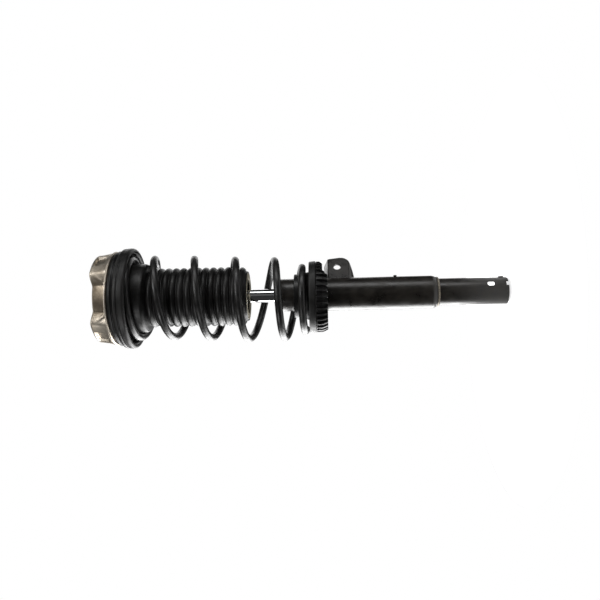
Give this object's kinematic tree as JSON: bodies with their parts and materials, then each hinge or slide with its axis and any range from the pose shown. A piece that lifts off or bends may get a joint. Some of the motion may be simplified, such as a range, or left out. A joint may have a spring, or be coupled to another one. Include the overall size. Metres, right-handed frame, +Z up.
{
  "type": "strut assembly",
  "caption": "Front suspension strut with a twin-tube damper, black coil spring, ribbed lower seat, dust boot, cast top mount with a bearing, and a link bracket",
  "frame": {"origin": "centre of the lower tube's open end, where the wheel carrier clamps the strut", "axes": "+Z up the strut's axis to the top mount, +X towards the lower tube's locating lug and slot; the link bracket stands 40 degrees from +X towards +Y"},
  "size_m": [0.1712, 0.1712, 0.69],
  "materials": {
    "black_paint": "semi-gloss black cathodic dip paint on steel",
    "spring_coating": "satin black epoxy powder coat on spring steel",
    "black_rubber": "matt moulded black rubber",
    "black_plastic": "moulded black glass-filled nylon",
    "cast_aluminium": "die-cast aluminium, warm grey, satin",
    "chrome": "ground and hard chromed rod",
    "bare_steel": "machined or sintered steel, oiled",
    "zinc_steel": "zinc plated steel",
    "cream_plastic": "natural cream moulded plastic",
    "polyurethane": "microcellular polyurethane foam, yellowish"
  },
  "bodies": {
    "strut_body": {"lower_tube": "black_paint", "locating_lug": "black_paint", "lower_weld_bead": "black_paint", "reservoir_tube": "black_paint", "harness_tab": "black_paint", "link_bracket": "black_paint", "lower_seat_support": "black_paint", "base_plug": "bare_steel", "base_valve": "bare_steel", "pressure_tube": "bare_steel", "rod_guide": "bare_steel", "rod_seal": "black_rubber", "tube_cap": "bare_steel", "lower_spring_seat": "black_plastic", "lower_spring_pad": "black_rubber", "coil_spring": "spring_coating"},
    "rod_assembly": {"piston_rod": "chrome", "piston": "bare_steel", "piston_band": "black_plastic", "piston_nut": "bare_steel", "rebound_stop": "black_rubber", "upper_spring_seat": "black_plastic", "upper_spring_pad": "black_rubber", "bump_stop_cup": "zinc_steel", "bump_stop": "polyurethane", "dust_boot": "black_rubber", "boot_clip": "black_plastic", "bearing_inner_race": "bare_steel", "rod_washer": "zinc_steel", "rod_nut": "zinc_steel"},
    "boot_end": {"boot_end_ring": "cream_plastic"},
    "bearing_cage": {"bearing_cage": "bare_steel"},
    "top_mount": {"mount_housing": "cast_aluminium", "mount_rubber": "black_rubber", "bearing_outer_race": "bare_steel", "threaded_insert_1": "zinc_steel", "threaded_insert_2": "zinc_steel", "threaded_insert_3": "zinc_steel"}
  },
  "joints": [
    {"name": "rod_slide", "type": "slide", "parent": "strut_body", "child": "rod_assembly", "axis": [0, 0, -1], "range_m": [0, 0.15], "stiffness_N_per_m": 28000, "springref_m": -0.005, "deforming": ["coil_spring", "dust_boot"]},
    {"name": "boot_end_slide", "type": "slide", "parent": "rod_assembly", "child": "boot_end", "axis": [0, 0, 1], "range_m": [0, 0.078]},
    {"name": "steering_bearing", "type": "hinge", "parent": "rod_assembly", "child": "top_mount", "pos_m": [0, 0, 0.66715], "axis": [0, 0, 1], "continuous": true},
    {"name": "cage_turn", "type": "hinge", "parent": "rod_assembly", "child": "bearing_cage", "pos_m": [0, 0, 0.66715], "axis": [0, 0, 1], "continuous": true}
  ],
  "couplings": [
    {"joint": "boot_end_slide", "follows": "rod_slide", "ratio": 0.52},
    {"joint": "cage_turn", "follows": "steering_bearing", "ratio": 0.5}
  ]
}
